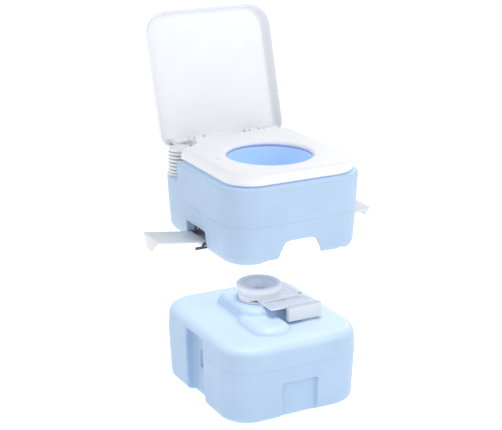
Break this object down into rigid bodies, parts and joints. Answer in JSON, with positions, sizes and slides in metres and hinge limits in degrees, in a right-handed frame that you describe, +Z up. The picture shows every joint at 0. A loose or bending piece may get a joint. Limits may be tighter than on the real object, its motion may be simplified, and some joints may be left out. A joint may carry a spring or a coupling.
{
  "type": "portable camp toilet",
  "caption": "Two-part portable camp toilet with waste tank, slide valve, flush tank with bowl, seat, open lid, bellows pump and side latches.",
  "frame": {"origin": "centre of the waste tank's footprint, on the floor", "axes": "+Z up, -Y towards the user's front where the valve's pull is, +X to the right seen from the front"},
  "size_m": [0.5866, 0.5069, 0.9048],
  "materials": {
    "blue_shell": "blow-moulded polyethylene, soft satin, faint parting line",
    "bowl_plastic": "smooth satin moulded plastic",
    "white_plastic": "smooth satin moulded plastic",
    "grey_plastic": "fine-grained moulded plastic",
    "dark_plastic": "fine-grained moulded plastic",
    "pale_rubber": "moulded pale silicone rubber",
    "seal_rubber": "moulded rubber",
    "steel": "zinc-plated steel"
  },
  "bodies": {
    "waste_tank": {"waste_tank": "blue_shell", "valve_frame": "white_plastic", "valve_collar": "white_plastic", "mouth_seal": "pale_rubber", "gate_seal": "seal_rubber", "valve_screws": "steel", "spout_collar": "white_plastic"},
    "gate": {"gate_blade": "white_plastic", "gate_handle": "grey_plastic"},
    "spout": {"pour_spout": "white_plastic"},
    "spout_cap": {"spout_cap": "white_plastic", "spout_seal": "seal_rubber"},
    "flush_unit": {"flush_tank": "blue_shell", "toilet_bowl": "bowl_plastic", "bowl_gasket": "seal_rubber", "outlet_seal": "seal_rubber", "hinge_block_left": "white_plastic", "hinge_block_right": "white_plastic", "hinge_pin_left": "steel", "hinge_pin_right": "steel", "hinge_screws": "steel", "pump_base": "white_plastic", "pump_bellows": "white_plastic", "pump_valve": "grey_plastic", "suction_tube": "grey_plastic", "flush_hose": "grey_plastic", "flush_nozzle": "grey_plastic", "filler_neck": "white_plastic", "latch_bracket_left": "dark_plastic", "latch_bracket_right": "dark_plastic", "latch_pin_left": "steel", "latch_pin_right": "steel", "latch_screws": "steel"},
    "pump": {"pump_cap": "white_plastic"},
    "filler_cap": {"filler_cap": "white_plastic", "filler_seal": "seal_rubber"},
    "seat": {"seat": "white_plastic", "seat_bumpers": "seal_rubber"},
    "lid": {"lid": "white_plastic"},
    "latch_left": {"latch_left": "grey_plastic"},
    "latch_right": {"latch_right": "grey_plastic"}
  },
  "joints": [
    {"name": "lift_off", "type": "slide", "parent": "waste_tank", "child": "flush_unit", "axis": [0, 0, 1], "range_m": [-0.2015, 0]},
    {"name": "lid_hinge", "type": "hinge", "parent": "flush_unit", "child": "lid", "pos_m": [0, 0.18, 0.602], "axis": [1, 0, 0], "range_deg": [0, 106]},
    {"name": "seat_hinge", "type": "hinge", "parent": "flush_unit", "child": "seat", "pos_m": [0, 0.18, 0.602], "axis": [1, 0, 0], "range_deg": [-100, 0]},
    {"name": "latch_left_swing", "type": "hinge", "parent": "flush_unit", "child": "latch_left", "pos_m": [-0.172, 0, 0.408], "axis": [0, -1, 0], "range_deg": [0, 98]},
    {"name": "latch_right_swing", "type": "hinge", "parent": "flush_unit", "child": "latch_right", "pos_m": [0.172, 0, 0.408], "axis": [0, 1, 0], "range_deg": [0, 98]},
    {"name": "pump_press", "type": "slide", "parent": "flush_unit", "child": "pump", "axis": [0, 0, -1], "range_m": [0, 0.03], "stiffness_N_per_m": 600, "springref_m": -0.01, "deforming": ["pump_bellows"]},
    {"name": "filler_cap_turn", "type": "hinge", "parent": "flush_unit", "child": "filler_cap", "pos_m": [0, 0.183, 0.547], "axis": [0, 0, 1], "range_deg": [0, 360]},
    {"name": "gate_pull", "type": "slide", "parent": "waste_tank", "child": "gate", "axis": [0, -1, 0], "range_m": [0, 0.078]},
    {"name": "spout_swivel", "type": "hinge", "parent": "waste_tank", "child": "spout", "pos_m": [-0.095, 0.1715, 0.132], "axis": [0, 0, 1], "range_deg": [0, 90]},
    {"name": "spout_cap_turn", "type": "hinge", "parent": "spout", "child": "spout_cap", "pos_m": [0.065, 0.1715, 0.132], "axis": [1, 0, 0], "range_deg": [0, 360]}
  ]
}
